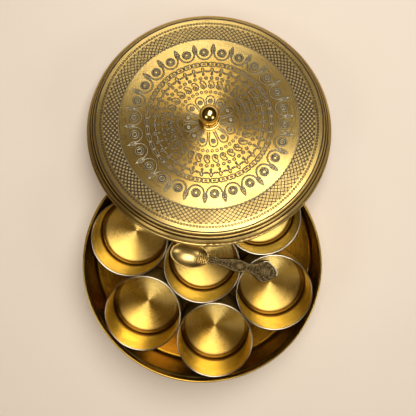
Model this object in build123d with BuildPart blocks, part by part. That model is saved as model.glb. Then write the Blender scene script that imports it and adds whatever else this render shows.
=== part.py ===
from build123d import *
import math
import os

# Brass spice box: a round pan with seven loose bowls, a spoon and a knobbed lid.
# Millimetres. The origin is the middle of the pan's base, +Z is up, and the lid
# leans on the pan's back rim, which is the side of +Y.

# Pan
pan_radius = 100.0
pan_height = 56.0
pan_sheet = 1.0
pan_corner_radius = 4.0
pan_rim_bead_radius = 1.0
pan_stop_bead_drop = 10.0
pan_stop_bead_depth = 1.5
pan_stop_bead_half_width = 2.6
pan_stop_bead_fillet = 1.6

# Bowls
bowl_height = 50.0
bowl_sheet = 0.8
bowl_side_taper = 0.6
bowl_corner_radius = 2.0
bowl_foot_ledge = 3.3
bowl_foot_step = 0.8
bowl_foot_slope = 1.0
bowl_rim_bead_radius = 0.65
bowl_gap = 0.3
bowl_wall_room = 0.3
ring_bowl_count = 6
ring_bowl_angle = -17.8

# Lid
lid_fit_clearance = 0.4
lid_height = 14.0
lid_sheet = 0.9
lid_tilt = 20.4
lid_plate_edge_radius = 1.2
lid_groove_depth = 2.6
lid_groove_slope = 0.5
lid_ledge_width = 1.7
lid_ledge_drop = 0.5
lid_shoulder_drop = 1.6
lid_shoulder_slope = 0.5
lid_shoulder_width = 2.7
lid_skirt_height = 7.4
lid_rim_bead_radius = 1.4
lid_fold_radius = 1.0
lid_groove_radius = 0.6

# Knob and its fastening
knob_ball_radius = 8.4
knob_seat_radius = 4.0
knob_collar_radius = 9.0
knob_collar_height = 6.5
knob_collar_foot_height = 1.8
knob_collar_waist_radius = 6.6
knob_collar_lip_radius = 7.5
knob_collar_lip_height = 1.4
screw_radius = 2.0
screw_length = 15.0
screw_head_radius = 4.0
screw_head_height = 2.4
screw_slot_width = 0.9
screw_slot_depth = 1.1
screw_end_room = 1.0
washer_radius = 6.0
washer_thickness = 0.8
screw_clearance = 0.15

# Spoon
spoon_bowl_length = 33.0
spoon_bowl_width = 22.0
spoon_bowl_depth = 5.5
spoon_sheet = 0.8
spoon_end_room = 5.4
spoon_y = 8.8
spoon_angle = -9.5
spoon_rim_lift = 1.6
handle_length = 62.0
handle_thickness = 2.3
handle_edge_chamfer = 0.4
handle_corner_radius = 2.0
handle_neck_width = 6.4
handle_belly_width = 11.0
handle_waist_width = 8.2
handle_end_width = 19.4
handle_tip_width = 5.4
handle_neck_share = 0.2
handle_belly_share = 0.48
handle_waist_share = 0.62
handle_end_share = 0.84
handle_root_overlap = 3.0

# Room between pieces that rest on each other along curved faces
rest_gap = 0.3

# Heights and circles that follow from the sizes above
pan_rim_circle = pan_radius - pan_sheet / 2
pan_rim_bead_z = pan_height - pan_rim_bead_radius
pan_mouth_radius = pan_rim_circle - pan_rim_bead_radius
pan_stop_bead_z = pan_height - pan_stop_bead_drop

# Three bowls in a row fill the pan's mouth, inside its rolled rim.
bowl_rim_radius = (pan_mouth_radius - bowl_wall_room - bowl_gap) / 3
bowl_wall_foot_radius = bowl_rim_radius - bowl_side_taper
bowl_foot_radius = bowl_wall_foot_radius - bowl_foot_ledge
bowl_ring_radius = 2 * bowl_rim_radius + bowl_gap
bowl_rim_z = pan_sheet + bowl_height
spoon_x = spoon_bowl_length / 2 + spoon_end_room - bowl_rim_radius

# The lid slips over the pan's rim bead.
lid_radius = pan_rim_circle + pan_rim_bead_radius + lid_fit_clearance + lid_sheet
lid_step_radius = lid_radius - lid_shoulder_width - lid_shoulder_slope
lid_plate_radius = lid_step_radius - lid_ledge_width - lid_groove_slope
lid_rim_circle = lid_radius - lid_sheet + lid_rim_bead_radius
lid_underside = lid_height - lid_sheet
screw_bore = screw_radius + screw_clearance

# The lid's far edge stands on the table and its plate lies on the pan's back rim.
tilt_sin = math.sin(math.radians(lid_tilt))
tilt_cos = math.cos(math.radians(lid_tilt))
lid_z = rest_gap + lid_rim_bead_radius * (1 - tilt_cos) + lid_rim_circle * tilt_sin
lid_over_rim = tilt_cos * (pan_rim_bead_z - lid_z)
lid_seat = lid_underside - pan_rim_bead_radius - rest_gap
lid_y = pan_rim_circle + (lid_over_rim - lid_seat) / tilt_sin
lid_plane = Plane(origin=(0, lid_y, lid_z), x_dir=(1, 0, 0), z_dir=(0, tilt_sin, tilt_cos))
plate_top = lid_plane.offset(lid_height)
plate_underside = lid_plane.offset(lid_underside)

os.makedirs("parts", exist_ok=True)


def section_of(plane):
    """The upright plane through a turned piece's own axis, where its profile is drawn."""
    return Plane(origin=plane.origin, x_dir=plane.x_dir, z_dir=-plane.y_dir)


def axis_of(plane):
    """The axis that a piece on this plane is turned about."""
    return Axis(plane.origin, plane.z_dir)


# Pan: one spun sheet with a flat base, a stop bead for the lid and a rolled rim
with BuildPart() as box_pan:
    with BuildSketch(Plane.XZ):
        with BuildLine():
            FilletPolyline(
                (0, 0),
                (pan_radius, 0),
                (pan_radius, pan_stop_bead_z - pan_stop_bead_half_width),
                (pan_radius + pan_stop_bead_depth, pan_stop_bead_z),
                (pan_radius, pan_stop_bead_z + pan_stop_bead_half_width),
                (pan_radius, pan_rim_bead_z),
                radius=[
                    pan_corner_radius,
                    pan_stop_bead_fillet,
                    pan_stop_bead_fillet,
                    pan_stop_bead_fillet,
                ],
            )
            offset(amount=pan_sheet, side=Side.LEFT)
        make_face()
        with Locations((pan_rim_circle, pan_rim_bead_z)):
            Circle(pan_rim_bead_radius)
    revolve(axis=Axis.Z)
box_pan.part.label = "box_pan"
export_step(box_pan.part, "parts/box_pan.step")


def make_bowl(plane):
    """One loose bowl, spun from sheet, standing on the stepped foot of its floor."""
    with BuildPart() as bowl:
        with BuildSketch(section_of(plane)):
            with BuildLine():
                FilletPolyline(
                    (0, 0),
                    (bowl_foot_radius, 0),
                    (bowl_foot_radius + bowl_foot_slope, bowl_foot_step),
                    (bowl_wall_foot_radius, bowl_foot_step),
                    (bowl_rim_radius, bowl_height - bowl_rim_bead_radius),
                    radius=[bowl_sheet, bowl_sheet / 2, bowl_corner_radius],
                )
                offset(amount=bowl_sheet, side=Side.LEFT)
            make_face()
            with Locations((bowl_rim_radius - bowl_rim_bead_radius, bowl_height - bowl_rim_bead_radius)):
                Circle(bowl_rim_bead_radius)
        revolve(axis=axis_of(plane))
    return bowl


# Seven bowls alike: one in the middle of the pan's floor and six in a ring round it
centre_bowl = make_bowl(Plane.XY.offset(pan_sheet))
centre_bowl.part.label = "centre_bowl"
export_step(centre_bowl.part, "parts/centre_bowl.step")

for number in range(ring_bowl_count):
    turn = math.radians(ring_bowl_angle + number * 360 / ring_bowl_count)
    bowl_x = bowl_ring_radius * math.cos(turn)
    bowl_y = bowl_ring_radius * math.sin(turn)
    ring_bowl = make_bowl(Plane(origin=(bowl_x, bowl_y, pan_sheet)))
    ring_bowl.part.label = f"ring_bowl_{number + 1}"
    export_step(ring_bowl.part, f"parts/ring_bowl_{number + 1}.step")


# Lid: a spun plate, two steps down to its skirt, and a rim rolled outwards
lid_step_height = lid_height - lid_groove_depth - lid_ledge_drop
with BuildPart() as lid_shell:
    with BuildSketch(section_of(lid_plane)):
        with BuildLine():
            FilletPolyline(
                (screw_bore, lid_height),
                (lid_plate_radius, lid_height),
                (lid_plate_radius + lid_groove_slope, lid_height - lid_groove_depth),
                (lid_step_radius, lid_step_height),
                (lid_step_radius + lid_shoulder_slope, lid_step_height - lid_shoulder_drop),
                (lid_radius, lid_skirt_height),
                (lid_radius, lid_rim_bead_radius),
                radius=[
                    lid_plate_edge_radius,
                    lid_groove_radius,
                    lid_fold_radius,
                    lid_groove_radius,
                    lid_fold_radius,
                ],
            )
            offset(amount=lid_sheet, side=Side.RIGHT)
        make_face()
        with Locations((lid_rim_circle, lid_rim_bead_radius)):
            Circle(lid_rim_bead_radius)
    revolve(axis=axis_of(lid_plane))
lid_shell.part.label = "lid_shell"
export_step(lid_shell.part, "parts/lid_shell.step")


# Knob: a waisted collar on the plate, and a ball seated on the collar's flat top
with BuildPart() as knob_collar:
    with BuildSketch(section_of(plate_top)):
        with BuildLine():
            Polyline(
                (screw_bore, knob_collar_height),
                (screw_bore, 0),
                (knob_collar_radius, 0),
                (knob_collar_radius, knob_collar_foot_height),
            )
            lip_underside = knob_collar_height - knob_collar_lip_height
            ThreePointArc(
                (knob_collar_radius, knob_collar_foot_height),
                (knob_collar_waist_radius, (knob_collar_foot_height + lip_underside) / 2),
                (knob_collar_lip_radius, lip_underside),
            )
            Polyline(
                (knob_collar_lip_radius, lip_underside),
                (knob_collar_lip_radius, knob_collar_height),
                (screw_bore, knob_collar_height),
            )
        make_face()
    revolve(axis=axis_of(plate_top))
knob_collar.part.label = "knob_collar"
export_step(knob_collar.part, "parts/knob_collar.step")

ball_seat = plate_top.offset(knob_collar_height)
ball_centre_height = math.sqrt(knob_ball_radius**2 - knob_seat_radius**2)
screw_reach = screw_length - washer_thickness - lid_sheet - knob_collar_height
with BuildPart(ball_seat.offset(ball_centre_height)) as knob_ball:
    Sphere(knob_ball_radius)
    split(bisect_by=ball_seat, keep=Keep.TOP)
    with BuildSketch(ball_seat):
        Circle(screw_bore)
    extrude(amount=screw_reach + screw_end_room, mode=Mode.SUBTRACT)
knob_ball.part.label = "knob_ball"
export_step(knob_ball.part, "parts/knob_ball.step")

# Washer and slotted screw that hold the knob from inside the lid
washer_underside = plate_underside.offset(-washer_thickness)
with BuildPart() as knob_washer:
    with BuildSketch(washer_underside):
        Circle(washer_radius)
        Circle(screw_bore, mode=Mode.SUBTRACT)
    extrude(amount=washer_thickness)
knob_washer.part.label = "knob_washer"
export_step(knob_washer.part, "parts/knob_washer.step")

head_underside = washer_underside.offset(-screw_head_height)
with BuildPart() as knob_screw:
    with BuildSketch(head_underside):
        Circle(screw_head_radius)
    extrude(amount=screw_head_height)
    with BuildSketch(washer_underside):
        Circle(screw_radius)
    extrude(amount=screw_length)
    with BuildSketch(head_underside):
        Rectangle(2 * screw_head_radius, screw_slot_width)
    extrude(amount=screw_slot_depth, mode=Mode.SUBTRACT)
knob_screw.part.label = "knob_screw"
export_step(knob_screw.part, "parts/knob_screw.step")


# Spoon: it lies across two bowls' rims, and its plane is the underside of the handle.
# Its bowl is a cap of a long ellipsoid, cut at the height of the spoon bowl's own rim.
spoon_turn = math.radians(spoon_angle)
spoon_plane = Plane(
    origin=(spoon_x, spoon_y, bowl_rim_z + rest_gap),
    x_dir=(math.cos(spoon_turn), math.sin(spoon_turn), 0),
    z_dir=(0, 0, 1),
)
spoon_rim_plane = spoon_plane.offset(spoon_rim_lift)
spoon_half_width = spoon_bowl_width / 2
ellipsoid_minor = (spoon_half_width**2 + spoon_bowl_depth**2) / (2 * spoon_bowl_depth)
ellipsoid_major = spoon_bowl_length / 2 * ellipsoid_minor / spoon_half_width
ellipsoid_plane = spoon_rim_plane.offset(ellipsoid_minor - spoon_bowl_depth)
ellipsoid_axis = Axis(ellipsoid_plane.origin, ellipsoid_plane.x_dir)


def lower_half_ellipse(inset):
    """The half of the spoon bowl's long section that lies under its axis."""
    Ellipse(ellipsoid_major - inset, ellipsoid_minor - inset)
    with Locations((0, ellipsoid_minor)):
        Rectangle(2 * ellipsoid_major, 2 * ellipsoid_minor, mode=Mode.SUBTRACT)


with BuildPart() as spoon_bowl:
    with BuildSketch(section_of(ellipsoid_plane)):
        lower_half_ellipse(0)
    revolve(axis=ellipsoid_axis)
    with BuildSketch(section_of(ellipsoid_plane)):
        lower_half_ellipse(spoon_sheet)
    revolve(axis=ellipsoid_axis, mode=Mode.SUBTRACT)
    split(bisect_by=spoon_rim_plane, keep=Keep.BOTTOM)
spoon_bowl.part.label = "spoon_bowl"
export_step(spoon_bowl.part, "parts/spoon_bowl.step")

# The handle's root is cut to the outside of the bowl, where the two are brazed.
handle_root = spoon_bowl_length / 2 - handle_root_overlap
with BuildPart() as spoon_handle:
    with BuildSketch(spoon_plane) as handle_outline:
        with BuildLine():
            Spline(
                (handle_root, handle_neck_width / 2),
                (handle_root + handle_neck_share * handle_length, handle_neck_width / 2),
                (handle_root + handle_belly_share * handle_length, handle_belly_width / 2),
                (handle_root + handle_waist_share * handle_length, handle_waist_width / 2),
                (handle_root + handle_end_share * handle_length, handle_end_width / 2),
                tangents=((1, 0), (1, 0)),
            )
            Line(
                (handle_root + handle_end_share * handle_length, handle_end_width / 2),
                (handle_root + handle_length, handle_tip_width / 2),
            )
            Line((handle_root + handle_length, handle_tip_width / 2), (handle_root + handle_length, 0))
            Line((handle_root, 0), (handle_root, handle_neck_width / 2))
            mirror(about=Plane.XZ)
        make_face()
        corner_pairs = handle_outline.vertices().group_by(Axis.X)
        fillet(corner_pairs[-2] + corner_pairs[-1], handle_corner_radius)
    extrude(amount=handle_thickness)
    chamfer(spoon_handle.faces().sort_by(Axis.Z)[-1].edges(), handle_edge_chamfer)
    with BuildSketch(section_of(ellipsoid_plane)):
        lower_half_ellipse(0)
    revolve(axis=ellipsoid_axis, mode=Mode.SUBTRACT)
spoon_handle.part.label = "spoon_handle"
export_step(spoon_handle.part, "parts/spoon_handle.step")
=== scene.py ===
import math

import bpy
from mathutils import Matrix, Vector


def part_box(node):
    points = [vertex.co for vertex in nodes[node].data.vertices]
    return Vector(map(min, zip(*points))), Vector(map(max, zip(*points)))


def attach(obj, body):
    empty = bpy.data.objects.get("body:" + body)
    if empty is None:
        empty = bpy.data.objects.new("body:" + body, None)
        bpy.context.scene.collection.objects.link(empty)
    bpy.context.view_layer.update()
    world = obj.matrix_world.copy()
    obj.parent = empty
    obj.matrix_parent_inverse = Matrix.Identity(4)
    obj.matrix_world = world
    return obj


# Brass spice box: the looks of the pan, its seven bowls, the spoon and the engraved lid.
# Metres, apart from drawn strokes and the spoon's hollow, which are in millimetres.
# The pan stands at the origin and the lid leans on its back rim, towards +Y.

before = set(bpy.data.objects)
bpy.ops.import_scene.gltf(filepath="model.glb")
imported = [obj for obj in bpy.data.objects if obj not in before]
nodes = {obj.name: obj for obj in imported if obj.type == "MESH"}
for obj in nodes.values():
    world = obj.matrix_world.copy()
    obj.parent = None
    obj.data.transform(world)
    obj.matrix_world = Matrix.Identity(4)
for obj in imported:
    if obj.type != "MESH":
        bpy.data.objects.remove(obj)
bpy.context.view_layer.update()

BOWLS = ["centre_bowl"] + [f"ring_bowl_{number}" for number in range(1, 7)]

# Lid: the middle of its open rim, its height, and how far back it leans
LID_TILT = math.radians(20.4)
LID_AXIS = Vector((0, math.sin(LID_TILT), math.cos(LID_TILT)))
LID_ORIGIN = Vector((0, 0.11661, 0.03605))
LID_HEIGHT = 0.014
PLATE_MIDDLE = LID_ORIGIN + LID_HEIGHT * LID_AXIS

# Spoon: the middle of its bowl on the plane of the handle's underside, and its turn on the bowls
SPOON_PLACE = Vector((-0.0107, 0.0088, 0.0513))
SPOON_TURN = math.radians(-9.5)
HANDLE_THICKNESS = 0.0023
SPOON_RIM = 0.0016

# The hollow of the spoon's bowl, millimetres: a cap of a long ellipsoid, centred above its rim
SPOON_HALF_LENGTH = 16.5
SPOON_HALF_WIDTH = 11.0
SPOON_DEPTH = 5.5
SPOON_SHEET = 0.8
SPOON_MINOR = (SPOON_HALF_WIDTH**2 + SPOON_DEPTH**2) / (2 * SPOON_DEPTH)
SPOON_MAJOR = SPOON_HALF_LENGTH * SPOON_MINOR / SPOON_HALF_WIDTH
SPOON_CENTRE = SPOON_MINOR - SPOON_DEPTH

# Flutes of the spoon's bowl, millimetres: where they cross it, their width, how far their middle
# stands off the hollow, what share of the way to its edge they run, and their steps to either side
FLUTE_PLACES = (7.6, 9.2, 10.8, 12.4, 13.9)
FLUTE_WIDTH = 1.1
FLUTE_RISE = 0.25
FLUTE_REACH = 0.86
FLUTE_STEPS = 4

# Relief on the spoon's handle: how high its strokes stand, as a share of their width
BORDER_SWELL = 0.6
FLOWER_SWELL = 0.7
# the pale line of painted highlight along the handle's edge
GLINT_SWELL = 0.5

# Engraving: how far its strokes stand out of the plate, as a share of their width, how far off the
# plate it is laid, and the scale that fits the drawn pattern to the plate
ENGRAVING_SWELL = 0.1
ENGRAVING_LIFT = 0.00001
PATTERN_SCALE = 0.985

# The dark cut under a stroke: how much wider it is, in millimetres, under the large motifs and under
# the small ones, and its own swell
SHADE_WIDER = 0.42
FINE_SHADE_WIDER = 0.56
SHADE_SWELL = 0.02

# Steps of a curved stroke between two of its points, and points of a circle round the plate
STROKE_STEPS = 3
CIRCLE_POINTS = 24

# How many of each motif go round the plate
EDGE_RINGS = 220
MILLED_MARKS = 140
LEAVES = 26
CHAIN_LINKS = 46
LILIES = 37
SMALL_RINGS = 52
PAISLEYS = 30
INNER_RINGS = 42
PETALS = 13

# Lines of the outer band, millimetres from the plate's middle
EDGE_GROOVE_RADIUS = 96.2
EDGE_RING_PLACE = 91.7
MILLED_LINE_RADIUS = 76.6
BOUND_LINE_RADIUS = 76.9

# The diamond lattice, millimetres and degrees: its band, how many cuts lean each way, how far they
# turn, and the pale studs between them, which are a painted glint of the cells
LATTICE_INNER = 77.1
LATTICE_OUTER = 89.6
LATTICE_CUTS = 120
LATTICE_TURN = 10.5
LATTICE_CUT_WIDTH = 0.8
STUD_WIDTH = 1.4
STUD_HALF_LENGTH = 0.65
STUD_ROWS = range(-3, 4)

# Lathe rings per metre of radius, which way the brushed gloss runs, and the fade and colour of a pale rim,
# which is a painted highlight
PAN_RINGS = 5200
BOWL_RINGS = 6400
LID_RINGS = 5200
KNOB_RINGS = 2600
FASTENER_RINGS = 4200
SPOON_RINGS = 1800
BRUSH_TURN = 0.25
LID_BRUSH_TURN = 0.255
RIM_FADE = 0.0004
RIM_PAINTED_GLINT = (0.50, 0.46, 0.36, 1)

# Wider tool marks in the middle of a turned floor: one every 1.7 mm, fading out between two radii
TOOL_MARK_RATE = 3700
TOOL_MARK_RADII = (0.009, 0.015)
TOOL_MARK_SHADE = (0.62, 0.55, 0.38, 1)

# Tints round a piece's axis: radius, height, reach, and the colour that the brass is multiplied by.
# The lid's are painted shade in its two steps and over its rim, and a darker middle of its plate.
GROOVE_CORE = 0.45
# painted shade for the lid's steps and the edge over its rim
GROOVE_PAINTED_SHADE = (0.10, 0.06, 0.03)
LID_GROOVES = (
    (0.0972, -0.0027, 0.0010, GROOVE_PAINTED_SHADE),
    (0.0993, -0.0048, 0.0011, GROOVE_PAINTED_SHADE),
    (0.1012, -0.0112, 0.0014, GROOVE_PAINTED_SHADE),
    (0.038, 0.0, 0.030, (0.82, 0.74, 0.54)),
)
# A bowl's are painted shade in the fold round its floor, in two widths, and a painted reflection that
# deepens the yellow of its walls
# painted shade in the fold between a bowl's floor and wall
FOLD_PAINTED_SHADE = (0.24, 0.15, 0.05)
BOWL_GROOVES = (
    (0.0300, 0.0022, 0.0040, FOLD_PAINTED_SHADE),
    (0.0335, 0.0060, 0.0066, FOLD_PAINTED_SHADE),
    # painted reflection: the walls' yellow deepened as light bouncing between them would
    (0.0325, 0.028, 0.027, (1.0, 1.02, 0.36)),
)

# A bowl's wall: how much it widens with height, the radius of its sheet's middle at the foot, the
# radii over which the painted shade on its outside fades in, and the heights over which that fades out at
# the rim
BOWL_FLARE = 0.0123
BOWL_WALL_MIDDLE = 0.03164
BOWL_OUTSIDE_RADII = (BOWL_WALL_MIDDLE - 0.0001, BOWL_WALL_MIDDLE + 0.0002)
BOWL_RIM_HEIGHTS = (0.0475, 0.0485)

# The pan's hollow, which is painted darker as shade: the radii over which it ends at the mouth, the
# heights over which it starts at the floor, and the radii over which its darkest painted shade in the
# middle grows lighter
PAN_MOUTH_RADII = (0.0990, 0.0996)
PAN_FLOOR_HEIGHTS = (0.0005, 0.0009)
PAN_GAP_RADII = (0.052, 0.074)

# Camera, as far above the pan as the bowls' floors and the lid show it
CAMERA_PLACE = (0.0088, 0.1054, 0.6200)
CAMERA_PITCH = math.radians(5.64)
CAMERA_YAW = math.radians(-0.62)
CAMERA_ROLL = math.radians(2.91)
FOCAL_PIXELS = 682
PICTURE_PIXELS = 416
SENSOR_WIDTH = 36
NEAREST_VIEW = 0.01

# Soft studio lamps: name, place, width, depth and watts; all face the middle of the pan
LAMP_AIM = (0, 0.0, 0.03)
SOFTBOXES = (
    ("top_softbox", (0.125, 0.38, 1.05), 0.54, 0.86, 10.8),
    ("left_softbox", (-0.60, -0.46, 0.92), 0.36, 0.36, 1.3),
    ("right_softbox", (0.76, -0.46, 0.78), 0.36, 0.36, 1.6),
)

# The floor: a wide sheet just under the pan's foot
FLOOR_RADIUS = 4.0
FLOOR_SIDES = 96
FLOOR_HEIGHT = -0.0002


def make_camera():
    """A camera nearly straight above the box, a little behind its middle."""
    ahead = Vector((0, -math.sin(CAMERA_PITCH), -math.cos(CAMERA_PITCH)))
    up = Vector((0, math.cos(CAMERA_PITCH), -math.sin(CAMERA_PITCH)))
    right = Vector((1, 0, 0))
    turned_ahead = math.cos(CAMERA_YAW) * ahead + math.sin(CAMERA_YAW) * right
    turned_right = math.cos(CAMERA_YAW) * right - math.sin(CAMERA_YAW) * ahead
    rolled_right = math.cos(CAMERA_ROLL) * turned_right + math.sin(CAMERA_ROLL) * up
    rolled_up = math.cos(CAMERA_ROLL) * up - math.sin(CAMERA_ROLL) * turned_right
    turn = Matrix((rolled_right, rolled_up, -turned_ahead)).transposed()
    bpy.ops.object.camera_add(location=CAMERA_PLACE, rotation=turn.to_euler())
    camera = bpy.context.object
    camera.name = "camera"
    camera.data.sensor_width = SENSOR_WIDTH
    camera.data.lens = FOCAL_PIXELS / PICTURE_PIXELS * SENSOR_WIDTH
    camera.data.clip_start = NEAREST_VIEW
    bpy.context.scene.camera = camera


def make_softbox(name, place, width, depth, watts):
    """A soft studio lamp that faces the box."""
    direction = Vector(LAMP_AIM) - Vector(place)
    turn = direction.to_track_quat("-Z", "Y").to_euler()
    bpy.ops.object.light_add(type="AREA", location=place, rotation=turn)
    lamp = bpy.context.object
    lamp.name = name
    lamp.data.shape = "RECTANGLE"
    lamp.data.size = width
    lamp.data.size_y = depth
    lamp.data.energy = watts


class Tree:
    """A node tree with short calls for the nodes that the materials here use."""

    def __init__(self, tree):
        self.tree = tree
        self.links = tree.links

    def add(self, kind, **settings):
        """A new node with its settings."""
        made = self.tree.nodes.new(kind)
        for name, value in settings.items():
            setattr(made, name, value)
        return made

    def plug(self, socket, value):
        """Feeds a socket from another one, or sets it to a value."""
        if isinstance(value, bpy.types.NodeSocket):
            self.links.new(value, socket)
        elif value is not None:
            socket.default_value = value

    def number(self, operation, first, second=None, third=None):
        """Arithmetic on numbers, by the operation's name."""
        made = self.add("ShaderNodeMath", operation=operation)
        for socket, value in zip(made.inputs, (first, second, third)):
            self.plug(socket, value)
        return made.outputs[0]

    def vector(self, operation, first, second=None):
        """Arithmetic on vectors, by the operation's name."""
        made = self.add("ShaderNodeVectorMath", operation=operation)
        self.plug(made.inputs[0], first)
        self.plug(made.inputs[1], second)
        return made.outputs["Value" if operation == "LENGTH" else "Vector"]

    def split(self, vector):
        """A vector's X, Y and Z."""
        made = self.add("ShaderNodeSeparateXYZ")
        self.plug(made.inputs[0], vector)
        return made.outputs

    def join(self, x, y, z=None):
        """A vector from its X, Y and Z."""
        made = self.add("ShaderNodeCombineXYZ")
        for socket, value in zip(made.inputs, (x, y, z)):
            self.plug(socket, value)
        return made.outputs[0]

    def radius(self, place):
        """How far a place is from the Z axis."""
        return self.vector("LENGTH", self.vector("MULTIPLY", place, (1, 1, 0)))

    def between(self, value, low, high, new_low=0.0, new_high=1.0):
        """A value eased from one range to another."""
        made = self.add("ShaderNodeMapRange", interpolation_type="SMOOTHSTEP")
        for socket, given in zip(made.inputs, (value, low, high, new_low, new_high)):
            self.plug(socket, given)
        return made.outputs["Result"]

    def blend(self, share, first, second, kind="MIX"):
        """Two colours mixed by a share of the second."""
        made = self.add("ShaderNodeMix", data_type="RGBA", blend_type=kind)
        self.plug(made.inputs["Factor"], share)
        self.plug(made.inputs["A"], first)
        self.plug(made.inputs["B"], second)
        return made.outputs["Result"]

    def noise(self, place, scale, detail, roughness):
        """Soft noise at a scale."""
        made = self.add("ShaderNodeTexNoise")
        self.plug(made.inputs["Vector"], place)
        self.plug(made.inputs["Scale"], scale)
        made.inputs["Detail"].default_value = detail
        made.inputs["Roughness"].default_value = roughness
        return made.outputs["Fac"]

    def bump(self, height, distance):
        """A normal that follows a height of this many metres."""
        made = self.add("ShaderNodeBump")
        made.inputs["Strength"].default_value = 1.0
        made.inputs["Distance"].default_value = distance
        self.plug(made.inputs["Height"], height)
        return made.outputs["Normal"]


def new_group(name, inputs, outputs):
    """An empty shader group with these sockets, its Tree, and its inner input and output nodes."""
    group = bpy.data.node_groups.new(name, "ShaderNodeTree")
    for label, kind in inputs:
        group.interface.new_socket(label, in_out="INPUT", socket_type=kind)
    for label, kind in outputs:
        group.interface.new_socket(label, in_out="OUTPUT", socket_type=kind)
    tree = Tree(group)
    return group, tree, tree.add("NodeGroupInput").outputs, tree.add("NodeGroupOutput").inputs


def make_lathe_group():
    """Ring marks of a lathe: fine rings about the Z axis, broken up along their length."""
    group, tree, given, result = new_group(
        "lathe_rings",
        [
            ("Position", "NodeSocketVector"),
            ("Rings per metre", "NodeSocketFloat"),
            ("Breaks", "NodeSocketFloat"),
        ],
        [("Grain", "NodeSocketFloat"), ("Radius", "NodeSocketFloat")],
    )
    flat = tree.vector("MULTIPLY", given["Position"], (1, 1, 0))
    radius = tree.vector("LENGTH", flat)
    around = tree.split(tree.vector("NORMALIZE", flat))
    height = tree.split(given["Position"])["Z"]
    rings = tree.number("MULTIPLY", tree.number("ADD", radius, height), given["Rings per metre"])
    break_x = tree.number("MULTIPLY", around["X"], given["Breaks"])
    break_y = tree.number("MULTIPLY", around["Y"], given["Breaks"])
    grain = tree.noise(tree.join(rings, break_x, break_y), 1.0, detail=3.0, roughness=0.6)
    tree.plug(result["Grain"], grain)
    tree.plug(result["Radius"], radius)
    return group


def make_tarnish_group():
    """Handling and age: soft cloudy patches and small spots, from 0 for clean to 1 for dull."""
    group, tree, given, result = new_group(
        "tarnish",
        [
            ("Position", "NodeSocketVector"),
            ("Cloud scale", "NodeSocketFloat"),
            ("Spot scale", "NodeSocketFloat"),
        ],
        [("Clouds", "NodeSocketFloat"), ("Spots", "NodeSocketFloat")],
    )
    clouds = tree.noise(given["Position"], given["Cloud scale"], detail=4.0, roughness=0.55)
    tree.plug(result["Clouds"], tree.between(clouds, 0.35, 0.7))
    spots = tree.noise(given["Position"], given["Spot scale"], detail=2.0, roughness=0.6)
    tree.plug(result["Spots"], tree.between(spots, 0.62, 0.74))
    return group


LATHE = make_lathe_group()
TARNISH = make_tarnish_group()


def use(tree, group, **values):
    """Places a shader group with its input values."""
    made = tree.add("ShaderNodeGroup")
    made.node_tree = group
    for name, value in values.items():
        tree.plug(made.inputs[name.replace("_", " ")], value)
    return made.outputs


def new_material(name):
    """An empty material, its Tree, and its shader on the way to the surface."""
    material = bpy.data.materials.new(name)
    material.use_nodes = True
    material.node_tree.nodes.clear()
    tree = Tree(material.node_tree)
    shader = tree.add("ShaderNodeBsdfPrincipled")
    tree.links.new(shader.outputs[0], tree.add("ShaderNodeOutputMaterial").inputs["Surface"])
    return material, tree, shader


def open_colour(material):
    """A finished material's Tree, its shader's colour socket, and the colour that feeds it."""
    shader = next(node for node in material.node_tree.nodes if node.type == "BSDF_PRINCIPLED")
    socket = shader.inputs["Base Color"]
    return Tree(material.node_tree), socket, socket.links[0].from_socket


def turned_place(tree, middle, lean=0.0):
    """The position, and the same seen from a turned piece's own axis: Z along it and X, Y across."""
    coordinates = tree.add("ShaderNodeTexCoord").outputs["Object"]
    mapping = tree.add("ShaderNodeMapping", vector_type="TEXTURE")
    mapping.inputs["Location"].default_value = middle
    mapping.inputs["Rotation"].default_value = (-lean, 0, 0)
    tree.plug(mapping.inputs["Vector"], coordinates)
    return coordinates, mapping.outputs[0]


def brush_round(tree, shader, coordinates, middle, lean):
    """Turns the brushed gloss along the rings about a leaning axis."""
    axis = (0, math.sin(lean), math.cos(lean))
    across = tree.vector("SUBTRACT", coordinates, tuple(middle))
    along = tree.vector("CROSS_PRODUCT", axis, across)
    tree.plug(shader.inputs["Tangent"], tree.vector("NORMALIZE", along))


def shade_groove(tree, place, colour, radius, height, reach, shade):
    """A soft ring of painted shade or tint about a radius and height of the turned piece."""
    out = tree.number("SUBTRACT", tree.radius(place), radius)
    up = tree.number("SUBTRACT", tree.split(place)["Z"], height)
    away = tree.vector("LENGTH", tree.join(out, up))
    near = tree.between(away, reach * GROOVE_CORE, reach, 1.0, 0.0)
    return tree.blend(near, colour, (*shade, 1), "MULTIPLY")


def ring_middle(tree, radius, colour):
    """A few wider tool marks round the middle of a turned floor."""
    wave = tree.number("SINE", tree.number("MULTIPLY", radius, TOOL_MARK_RATE))
    zone = tree.between(radius, *TOOL_MARK_RADII, 1.0, 0.0)
    share = tree.number("MULTIPLY", tree.between(wave, 0.0, 1.0), zone)
    return tree.blend(tree.number("MULTIPLY", share, 0.6), colour, TOOL_MARK_SHADE, "MULTIPLY")


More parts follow.
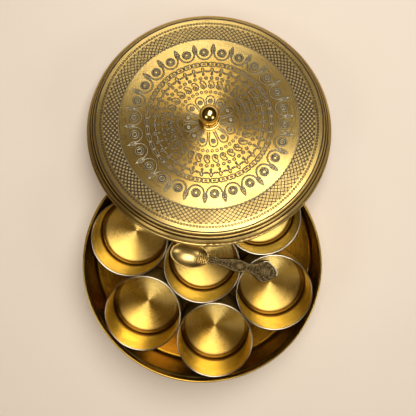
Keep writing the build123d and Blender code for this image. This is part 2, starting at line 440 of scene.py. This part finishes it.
def make_turned_brass(name, pale, deep, dull, rings, gloss, brushed, middle=PLATE_MIDDLE,
                      lean=LID_TILT, brush_turn=BRUSH_TURN, rim_from=None, grooves=()):
    """Spun or turned brass: fine lathe rings, cloudy tarnish, painted shade and tints round its axis,
    brushed gloss.

    A piece with rim_from is painted paler above that height, as a highlight on its rim, and has wider tool
    marks in its middle.
    """
    material, tree, shader = new_material(name)
    coordinates, place = turned_place(tree, middle, lean)
    grain = use(tree, LATHE, Position=place, Rings_per_metre=rings, Breaks=3.0)
    stain = use(tree, TARNISH, Position=coordinates, Cloud_scale=38.0, Spot_scale=420.0)
    colour = tree.blend(tree.between(grain["Grain"], 0.3, 0.7), (*deep, 1), (*pale, 1))
    colour = tree.blend(tree.number("MULTIPLY", stain["Clouds"], 0.35), colour, (*dull, 1))
    colour = tree.blend(tree.number("MULTIPLY", stain["Spots"], 0.45), colour, (*dull, 1))
    for groove in grooves:
        colour = shade_groove(tree, place, colour, *groove)
    if rim_from is not None:
        colour = ring_middle(tree, grain["Radius"], colour)
        # painted highlight: the rim is paler above rim_from
        rim = tree.between(tree.split(place)["Z"], rim_from, rim_from + RIM_FADE)
        colour = tree.blend(rim, colour, RIM_PAINTED_GLINT)
    rough = tree.between(grain["Grain"], 0.25, 0.75, gloss - 0.05, gloss + 0.07)
    rough = tree.number("MULTIPLY_ADD", stain["Clouds"], 0.08, rough)
    tree.plug(shader.inputs["Base Color"], colour)
    tree.plug(shader.inputs["Roughness"], rough)
    shader.inputs["Metallic"].default_value = 1.0
    shader.inputs["Anisotropic"].default_value = brushed
    shader.inputs["Anisotropic Rotation"].default_value = brush_turn
    brush_round(tree, shader, coordinates, middle, lean)
    tree.plug(shader.inputs["Normal"], tree.bump(grain["Grain"], 0.00002))
    return material


def make_patina(name, pale, deep, metal, brushed=0.0):
    """Old darkened metal in the engraving and the casting: dull, uneven, rough.

    A brushed one is cut across the plate's rings, so it shines where the plate is dark.
    """
    material, tree, shader = new_material(name)
    coordinates = tree.add("ShaderNodeTexCoord").outputs["Object"]
    stain = use(tree, TARNISH, Position=coordinates, Cloud_scale=150.0, Spot_scale=900.0)
    fine = tree.noise(coordinates, 1400.0, detail=3.0, roughness=0.6)
    colour = tree.blend(tree.between(fine, 0.35, 0.65), (*deep, 1), (*pale, 1))
    colour = tree.blend(tree.number("MULTIPLY", stain["Clouds"], 0.3), colour, (*deep, 1))
    tree.plug(shader.inputs["Base Color"], colour)
    tree.plug(shader.inputs["Roughness"], tree.between(fine, 0.3, 0.7, 0.62, 0.48))
    shader.inputs["Metallic"].default_value = metal
    tree.plug(shader.inputs["Normal"], tree.bump(fine, 0.00005))
    if brushed:
        shader.inputs["Anisotropic"].default_value = brushed
        brush_round(tree, shader, coordinates, PLATE_MIDDLE, LID_TILT)
    return material


PATINA = make_patina("engraved_patina", (0.60, 0.50, 0.30), (0.38, 0.31, 0.18), metal=0.8, brushed=0.8)
# pale studs in the lattice's cells: a painted glint
STUD_PAINTED_GLINT = make_patina("engraved_studs_painted_glint", (0.78, 0.62, 0.32), (0.60, 0.45, 0.20), metal=0.85)
CUT_SHADE = make_patina("engraved_shade", (0.105, 0.072, 0.034), (0.045, 0.03, 0.014), metal=0.25)
HANDLE_RELIEF = make_patina("handle_worn_relief", (0.62, 0.44, 0.18), (0.13, 0.085, 0.03), metal=0.95)
# a near-white line on the handle's edge: a painted highlight
HANDLE_PAINTED_GLINT = make_patina("handle_edge_painted_glint", (0.95, 0.86, 0.66), (0.85, 0.74, 0.52), metal=0.3)
HANDLE_GROUND = make_patina("handle_dark_cast", (0.10, 0.066, 0.026), (0.03, 0.019, 0.008), metal=0.95)


def shade_pan_hollow(material):
    """The pan's hollow is painted darker as shade, darkest in the gaps round the middle bowl."""
    tree, socket, bright = open_colour(material)
    coordinates = tree.add("ShaderNodeTexCoord").outputs["Object"]
    radius = tree.radius(coordinates)
    across = tree.between(radius, *PAN_MOUTH_RADII, 1.0, 0.0)
    height = tree.between(tree.split(coordinates)["Z"], *PAN_FLOOR_HEIGHTS)
    inside = tree.number("MULTIPLY", across, height)
    deep_shade_share = tree.between(radius, *PAN_GAP_RADII, 1.0, 0.0)
    # painted shade: darkest between the bowls in the middle, lighter towards the mouth
    shade = tree.blend(deep_shade_share, (0.38, 0.26, 0.07, 1), (0.08, 0.055, 0.02, 1))
    tree.plug(socket, tree.blend(inside, bright, shade, "MULTIPLY"))


def shade_bowl_outside(material, middle):
    """A bowl's outside is painted dark, as the shade in the narrow gaps between the bowls."""
    tree, socket, bright = open_colour(material)
    place = turned_place(tree, middle)[1]
    height = tree.split(place)["Z"]
    straight = tree.number("MULTIPLY_ADD", height, -BOWL_FLARE, tree.radius(place))
    outside = tree.between(straight, *BOWL_OUTSIDE_RADII)
    below_rim = tree.between(height, *BOWL_RIM_HEIGHTS, 1.0, 0.0)
    share = tree.number("MULTIPLY", outside, below_rim)
    clouds = tree.between(tree.noise(place, 60.0, detail=4.0, roughness=0.55), 0.35, 0.65)
    # painted shade on the bowl's outside, in two dark browns
    dull = tree.blend(clouds, (0.36, 0.21, 0.045, 1), (0.25, 0.14, 0.03, 1))
    tree.plug(socket, tree.blend(share, bright, dull))


def paint(material, *names):
    """Gives these solids of the frame one material on their whole surface."""
    for name in names:
        piece = nodes[name]
        piece.data.materials.clear()
        piece.data.materials.append(material)


def finish_pan():
    """Satin spun brass, with painted shade inside."""
    pan = make_turned_brass(
        "pan_spun_brass", pale=(0.84, 0.62, 0.18), deep=(0.76, 0.54, 0.13), dull=(0.55, 0.37, 0.10),
        rings=PAN_RINGS, gloss=0.22, brushed=0.7, middle=(0, 0, 0), lean=0,
    )
    shade_pan_hollow(pan)
    paint(pan, "box_pan")


def finish_bowls():
    """Each bowl's brass is turned about its own middle, its rim is painted pale as a highlight, and its
    outside is painted dark as shade.
    """
    for name in BOWLS:
        low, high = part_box(name)
        middle = ((low.x + high.x) / 2, (low.y + high.y) / 2, low.z)
        bowl = make_turned_brass(
            f"{name}_brass", pale=(0.82, 0.59, 0.20), deep=(0.74, 0.51, 0.135), dull=(0.52, 0.34, 0.06),
            rings=BOWL_RINGS, gloss=0.26, brushed=0.90, middle=middle, lean=0,
            rim_from=high.z - low.z - RIM_FADE, grooves=BOWL_GROOVES,
        )
        shade_bowl_outside(bowl, middle)
        paint(bowl, name)


def finish_lid():
    """The brushed lid, its polished knob, and the plain washer and screw under it."""
    lid = make_turned_brass(
        "lid_brushed_brass", pale=(0.71, 0.505, 0.185), deep=(0.63, 0.42, 0.115),
        dull=(0.45, 0.28, 0.065), rings=LID_RINGS, gloss=0.27, brushed=0.93,
        brush_turn=LID_BRUSH_TURN, grooves=LID_GROOVES,
    )
    paint(lid, "lid_shell")
    knob = make_turned_brass(
        "knob_polished_brass", pale=(0.90, 0.66, 0.22), deep=(0.86, 0.61, 0.18),
        dull=(0.62, 0.42, 0.14), rings=KNOB_RINGS, gloss=0.10, brushed=0.0,
    )
    paint(knob, "knob_collar", "knob_ball")
    fastener = make_turned_brass(
        "fastener_brass", pale=(0.72, 0.54, 0.22), deep=(0.60, 0.43, 0.16),
        dull=(0.40, 0.29, 0.12), rings=FASTENER_RINGS, gloss=0.35, brushed=0.3,
    )
    paint(fastener, "knob_washer", "knob_screw")


def finish_spoon():
    """The pressed bowl is satin, and the cast handle is dark."""
    spoon = make_turned_brass(
        "spoon_pressed_brass", pale=(0.74, 0.53, 0.19), deep=(0.62, 0.42, 0.12),
        dull=(0.44, 0.28, 0.08), rings=SPOON_RINGS, gloss=0.28, brushed=0.0,
        middle=(SPOON_PLACE.x, SPOON_PLACE.y, 0), lean=0,
    )
    paint(spoon, "spoon_bowl")
    paint(HANDLE_GROUND, "spoon_handle")
    return spoon


def pick(piece):
    """Makes a piece the only one that an operator acts on."""
    bpy.ops.object.select_all(action="DESELECT")
    piece.select_set(True)
    bpy.context.view_layer.objects.active = piece


def draw_strokes(name, strokes, swell):
    """A mesh of smooth strokes in the XY plane, given in millimetres.

    Each stroke is its width, whether it closes, and its points, which are x and y, or x, y and z.
    The strokes are four-sided bars, flattened to a share of their width.
    """
    curve = bpy.data.curves.new(name, "CURVE")
    curve.dimensions = "3D"
    curve.twist_mode = "Z_UP"
    curve.resolution_u = STROKE_STEPS
    curve.bevel_depth = 0.5
    curve.bevel_resolution = 0
    curve.use_fill_caps = True
    for width, closed, points in strokes:
        spline = curve.splines.new("BEZIER")
        spline.bezier_points.add(len(points) - 1)
        spline.use_cyclic_u = closed
        for knot, point in zip(spline.bezier_points, points):
            x, y, z = (*point, 0)[:3]
            knot.co = (x / 1000, y / 1000, z / 1000)
            knot.radius = width / 1000
            knot.handle_left_type = "AUTO"
            knot.handle_right_type = "AUTO"
    piece = bpy.data.objects.new(name, curve)
    bpy.context.collection.objects.link(piece)
    pick(piece)
    bpy.ops.object.convert(target="MESH")
    bpy.ops.object.mode_set(mode="EDIT")
    bpy.ops.mesh.select_all(action="SELECT")
    bpy.ops.transform.resize(value=(1, 1, swell), center_override=(0, 0, 0))
    bpy.ops.mesh.normals_make_consistent(inside=False)
    bpy.ops.object.mode_set(mode="OBJECT")
    return bpy.context.object


def copy_round(piece, count):
    """Repeats a motif round the Z axis, count times in a full turn."""
    bpy.ops.object.select_all(action="DESELECT")
    bpy.ops.object.empty_add(rotation=(0, 0, 2 * math.pi / count))
    turn = bpy.context.object
    pick(piece)
    ring = piece.modifiers.new("ring", "ARRAY")
    ring.use_relative_offset = False
    ring.use_object_offset = True
    ring.offset_object = turn
    ring.count = count
    bpy.ops.object.modifier_apply(modifier=ring.name)
    bpy.data.objects.remove(turn)


def round_points(x, y, across, along, count):
    """Points of a circle or an ellipse about a middle."""
    steps = [2 * math.pi * number / count for number in range(count)]
    return [(x + across * math.cos(step), y + along * math.sin(step)) for step in steps]


def mirrored(points):
    """The same line on the other side of a motif."""
    return [(-x, y) for x, y in points]


def set_on_plate(name, count, strokes, swell, turn, material):
    """A ring of alike strokes, laid on the lid's plate and fastened to the lid."""
    piece = draw_strokes(name, strokes, swell)
    copy_round(piece, count)
    pick(piece)
    piece.rotation_euler = (0, 0, turn)
    piece.scale = (PATTERN_SCALE, PATTERN_SCALE, 1)
    bpy.ops.object.transform_apply(location=True, rotation=True, scale=True)
    piece.rotation_euler = (-LID_TILT, 0, 0)
    piece.location = PLATE_MIDDLE + ENGRAVING_LIFT * LID_AXIS
    bpy.ops.object.transform_apply(location=True, rotation=True, scale=True)
    piece.data.materials.append(material)
    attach(piece, "lid")


def engrave(name, count, strokes, half_step=False, wider=SHADE_WIDER):
    """A ring of alike engraved motifs, drawn at the plate's far side, over their dark cuts."""
    turn = math.pi / count if half_step else 0
    cuts = [(width + wider, closed, points) for width, closed, points in strokes]
    set_on_plate(f"{name}_cut", count, cuts, SHADE_SWELL, turn, CUT_SHADE)
    set_on_plate(name, count, strokes, ENGRAVING_SWELL, turn, PATINA)


def spiral(inner, outer, turn, count=4):
    """Points of a line that turns evenly as it runs from an inner to an outer circle."""
    points = []
    for number in range(count):
        share = number / (count - 1)
        angle = math.pi / 2 + math.radians(turn) * (share - 0.5)
        radius = inner + (outer - inner) * share
        points.append((radius * math.cos(angle), radius * math.sin(angle)))
    return points


def engrave_lattice():
    """The diamond lattice: two sets of dark crossing cuts, and a pale stud in each cell's middle as a
    painted glint.
    """
    cuts = []
    for turn in (LATTICE_TURN, -LATTICE_TURN):
        cuts.append((LATTICE_CUT_WIDTH, False, spiral(LATTICE_INNER, LATTICE_OUTER, turn)))
    set_on_plate("engraved_lattice", LATTICE_CUTS, cuts, SHADE_SWELL, 0, CUT_SHADE)
    cell_angle = math.radians(360 / LATTICE_CUTS)
    cell_depth = (LATTICE_OUTER - LATTICE_INNER) * cell_angle / math.radians(2 * LATTICE_TURN)
    studs = []
    for row in STUD_ROWS:
        radius = (LATTICE_INNER + LATTICE_OUTER) / 2 + row * cell_depth
        angle = math.pi / 2 + (0 if row % 2 else cell_angle / 2)
        lengths = (radius - STUD_HALF_LENGTH, radius + STUD_HALF_LENGTH)
        ends = [(length * math.cos(angle), length * math.sin(angle)) for length in lengths]
        studs.append((STUD_WIDTH, False, ends))
    set_on_plate("engraved_lattice_glint_studs", LATTICE_CUTS, studs, ENGRAVING_SWELL, 0, STUD_PAINTED_GLINT)


def engrave_outer_band():
    """Painted shade along the groove at the plate's edge, small rings, the diamond lattice and the milled
    line inside it.
    """
    # a dark ring over the plate's edge: painted shade in the groove there
    groove = [(1.3, True, round_points(0, 0, EDGE_GROOVE_RADIUS, EDGE_GROOVE_RADIUS, CIRCLE_POINTS))]
    set_on_plate("edge_groove_painted_shade", 1, groove, SHADE_SWELL, 0, CUT_SHADE)
    ring = [(0.8, True, round_points(0, EDGE_RING_PLACE, 0.75, 0.75, 4))]
    set_on_plate("engraved_edge_rings", EDGE_RINGS, ring, SHADE_SWELL, 0, CUT_SHADE)
    engrave_lattice()
    mark = [(1.0, False, [(-1.0, MILLED_LINE_RADIUS), (1.0, MILLED_LINE_RADIUS)])]
    engrave("engraved_milled_line", MILLED_MARKS, mark)
    bound = [(0.4, True, round_points(0, 0, BOUND_LINE_RADIUS, BOUND_LINE_RADIUS, CIRCLE_POINTS))]
    engrave("engraved_bound_line", 1, bound)


def engrave_leaf_border():
    """Leaves on the crests of a scalloped line, with a round flower in each scallop."""
    side = [(0.2, 62.6), (1.5, 64.6), (1.75, 67.0), (0.9, 69.8), (0.0, 71.9)]
    leaf = [
        (0.7, False, side),
        (0.7, False, mirrored(side)),
        (1.3, False, [(0, 69.3), (0, 70.9)]),
        (0.45, False, [(0, 63.8), (0, 69.0)]),
        (0.4, False, [(0.0, 65.0), (1.2, 66.6)]),
        (0.4, False, [(0.0, 65.0), (-1.2, 66.6)]),
        (0.4, False, [(0.0, 66.8), (1.0, 68.3)]),
        (0.4, False, [(0.0, 66.8), (-1.0, 68.3)]),
    ]
    engrave("engraved_leaves", LEAVES, leaf)
    arm = [(-7.5, 65.2), (-6.5, 62.4), (-4.6, 59.1), (0.0, 57.2), (4.6, 59.1), (6.5, 62.4), (7.5, 65.2)]
    flower = [
        (0.9, True, round_points(0, 63.8, 3.5, 3.5, 8)),
        (1.4, True, round_points(0, 63.8, 1.85, 1.85, 6)),
    ]
    engrave("engraved_scallops", LEAVES, [(1.15, False, arm)], half_step=True)
    engrave("engraved_flowers", LEAVES, flower, half_step=True)


def engrave_chain():
    """A chain of plates, each with a bar in it."""
    link = [
        (-2.8, 50.9), (0, 50.8), (2.8, 50.9), (3.0, 52.5),
        (2.8, 54.1), (0, 54.2), (-2.8, 54.1), (-3.0, 52.5),
    ]
    bar = [(-1.5, 52.5), (1.5, 52.5)]
    engrave("engraved_chain", CHAIN_LINKS, [(0.75, True, link), (1.1, False, bar)])


def engrave_lilies():
    """Lily heads on a line, with a dot between each two."""
    wing = [(0.2, 45.0), (1.5, 46.4), (2.6, 45.9), (2.4, 44.8)]
    lily = [
        (0.55, True, [(0, 49.1), (1.0, 47.2), (0, 45.4), (-1.0, 47.2)]),
        (0.6, False, wing),
        (0.6, False, mirrored(wing)),
        (0.7, True, round_points(0, 43.3, 0.6, 1.0, 4)),
        (0.35, False, [(2.6, 45.6), (5.0, 45.5)]),
    ]
    engrave("engraved_lilies", LILIES, lily, wider=FINE_SHADE_WIDER)
    dot = [(0.9, True, round_points(0, 45.8, 0.35, 0.35, 4))]
    engrave("engraved_lily_dots", LILIES, dot, half_step=True, wider=FINE_SHADE_WIDER)


def engrave_paisleys():
    """Small rings, hooked paisleys inside them, and smaller rings inside those."""
    ring = [(0.65, True, round_points(0, 39.6, 1.15, 1.05, 5))]
    engrave("engraved_small_rings", SMALL_RINGS, ring, wider=FINE_SHADE_WIDER)
    body = [(0.4, 29.8), (2.5, 31.6), (2.2, 34.4), (0.4, 36.9), (-1.6, 36.9), (-2.2, 35.6), (-1.2, 34.6)]
    paisley = [
        (0.55, False, body),
        (0.55, False, [(0.4, 29.8), (-1.9, 31.2), (-1.9, 33.2), (-0.4, 34.2)]),
        (0.6, True, round_points(0.2, 32.2, 0.75, 0.9, 4)),
        (0.7, False, [(0.3, 34.6), (0.6, 35.2)]),
    ]
    engrave("engraved_paisleys", PAISLEYS, paisley, wider=FINE_SHADE_WIDER)
    engrave("engraved_inner_rings", INNER_RINGS, [(0.5, True, round_points(0, 26.7, 1.1, 1.1, 4))])


def engrave_petals():
    """The petals round the knob, each with a dark eye."""
    side = [(1.4, 9.6), (2.6, 14.0), (3.5, 18.0), (3.1, 21.4), (0.0, 23.6)]
    petal = [
        (0.7, False, side),
        (0.7, False, mirrored(side)),
        (2.0, True, round_points(0, 18.2, 1.0, 1.1, 6)),
    ]
    engrave("engraved_petals", PETALS, petal)


def set_on_spoon(piece, height, material):
    """Lays relief at a height over the spoon's plane and fastens it to the spoon."""
    pick(piece)
    piece.rotation_euler = (0, 0, SPOON_TURN)
    piece.location = SPOON_PLACE + Vector((0, 0, height))
    bpy.ops.object.transform_apply(location=True, rotation=True, scale=True)
    piece.data.materials.append(material)
    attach(piece, "spoon")


def handle_flower(x, y, size):
    """A flower of six petals round a bead, scaled by its size."""
    strokes = [(0.9 * size, True, round_points(x, y, 0.5 * size, 0.5 * size, 4))]
    for number in range(6):
        turn = math.pi / 3 * number
        petal_x = x + 2.0 * size * math.cos(turn)
        petal_y = y + 1.6 * size * math.sin(turn)
        strokes.append((0.6, True, round_points(petal_x, petal_y, 0.75 * size, 0.6 * size, 4)))
    return strokes


def dress_handle():
    """The cast flowers, scrolls and border of the handle's upper side, and a pale line of painted highlight
    along its edge, drawn from the spoon's middle.
    """
    edge = [
        (16.4, 2.2), (26.0, 2.2), (36.0, 3.9), (43.3, 4.6),
        (51.9, 3.2), (58.0, 5.0), (64.4, 8.6), (66.6, 8.2),
    ]
    edge += [(74.0, 1.8), (74.0, -1.8)] + [(x, -y) for x, y in reversed(edge)]
    border = draw_strokes("handle_border", [(0.75, True, edge)], BORDER_SWELL)
    curls = ((19.0, 0.8), (24.0, 0.8), (29.5, 1.2), (35.0, 1.7), (50.5, 1.3), (56.0, 2.3), (70.0, 2.4))
    leaves = ((38.0, 2.9), (48.6, 2.7), (60.5, 4.8), (66.2, 5.9), (69.6, 3.9))
    beads = (
        (21.6, 1.4), (27.0, 1.7), (32.4, 2.3), (40.8, 3.4), (46.2, 3.3), (53.4, 2.7), (58.4, 3.8),
        (62.6, 6.6), (64.6, 4.6), (68.0, 6.0), (68.4, 1.2), (71.6, 3.2), (72.4, 0.9), (59.4, 1.6),
    )
    relief = handle_flower(43.3, 0, 1.0) + handle_flower(64.5, 0, 1.5)
    for side in (1, -1):
        for x, y in curls:
            curl = [(x - 2.0, 0), (x, side * y * 1.6), (x + 1.6, side * y * 1.2), (x + 1.2, side * y * 0.4)]
            relief.append((0.65, False, curl))
        for x, y in leaves:
            relief.append((0.6, True, round_points(x, side * y, 0.9, 0.7, 4)))
        for x, y in beads:
            relief.append((0.7, True, round_points(x, side * y, 0.3, 0.3, 4)))
    flowers = draw_strokes("handle_flowers", relief, FLOWER_SWELL)
    # a pale line along the far edge and tip of the handle: a painted highlight
    worn = [(62.0, 8.0), (64.9, 9.0), (67.4, 8.0), (74.6, 2.4), (75.0, 1.0), (75.0, -1.4)]
    edge_glint = draw_strokes("handle_edge_painted_glint", [(0.9, False, worn)], GLINT_SWELL)
    for piece, material in ((border, HANDLE_RELIEF), (flowers, HANDLE_RELIEF), (edge_glint, HANDLE_PAINTED_GLINT)):
        set_on_spoon(piece, HANDLE_THICKNESS, material)


def spoon_floor(x, y):
    """Height of the hollow's face from the spoon bowl's rim, in millimetres."""
    inner = SPOON_MINOR - SPOON_SHEET
    reach = inner**2 - y**2 - (x * inner / (SPOON_MAJOR - SPOON_SHEET)) ** 2
    return SPOON_CENTRE - math.sqrt(reach)


def flute_spoon(material):
    """The pressed flutes across the spoon's bowl, next to its neck."""
    flutes = []
    for x in FLUTE_PLACES:
        edge = SPOON_HALF_WIDTH * math.sqrt(1 - (x / SPOON_HALF_LENGTH) ** 2)
        points = []
        for step in range(-FLUTE_STEPS, FLUTE_STEPS + 1):
            y = step / FLUTE_STEPS * FLUTE_REACH * edge
            points.append((x, y, spoon_floor(x, y) + FLUTE_RISE))
        flutes.append((FLUTE_WIDTH, False, points))
    piece = draw_strokes("spoon_flutes", flutes, 1.0)
    set_on_spoon(piece, SPOON_RIM, material)


def make_floor():
    """A plain pale floor, a round sheet that runs out past every view."""
    bpy.ops.object.select_all(action="DESELECT")
    bpy.ops.mesh.primitive_circle_add(
        vertices=FLOOR_SIDES, radius=FLOOR_RADIUS, fill_type="NGON", location=(0, 0, FLOOR_HEIGHT),
    )
    floor = bpy.context.object
    floor.name = "floor"
    material, tree, shader = new_material("pale_floor")
    coordinates = tree.add("ShaderNodeTexCoord").outputs["Object"]
    clouds = tree.noise(coordinates, 9.0, detail=4.0, roughness=0.55)
    pale = tree.blend(clouds, (0.87, 0.735, 0.59, 1), (0.92, 0.79, 0.65, 1))
    tree.plug(shader.inputs["Base Color"], pale)
    shader.inputs["Roughness"].default_value = 0.75
    floor.data.materials.append(material)
    bpy.ops.object.transform_apply(location=True, rotation=True, scale=True)


def make_world():
    """A dim studio whose warm light comes from overhead."""
    world = bpy.data.worlds.new("studio")
    bpy.context.scene.world = world
    world.use_nodes = True
    world.node_tree.nodes.clear()
    tree = Tree(world.node_tree)
    direction = tree.add("ShaderNodeTexCoord").outputs["Generated"]
    height = tree.between(tree.split(direction)["Z"], 0.3, 0.95)
    background = tree.add("ShaderNodeBackground")
    warm = tree.blend(height, (1.0, 0.80, 0.50, 1), (1.0, 0.60, 0.12, 1))
    tree.plug(background.inputs["Color"], warm)
    tree.plug(background.inputs["Strength"], tree.between(height, 0.0, 1.0, 0.03, 0.11))
    tree.links.new(background.outputs[0], tree.add("ShaderNodeOutputWorld").inputs["Surface"])


make_camera()
make_world()
make_floor()
for softbox in SOFTBOXES:
    make_softbox(*softbox)
finish_pan()
finish_bowls()
finish_lid()
spoon_brass = finish_spoon()
engrave_outer_band()
engrave_leaf_border()
engrave_chain()
engrave_lilies()
engrave_paisleys()
engrave_petals()
dress_handle()
flute_spoon(spoon_brass)

bpy.context.scene.view_settings.view_transform = "Standard"
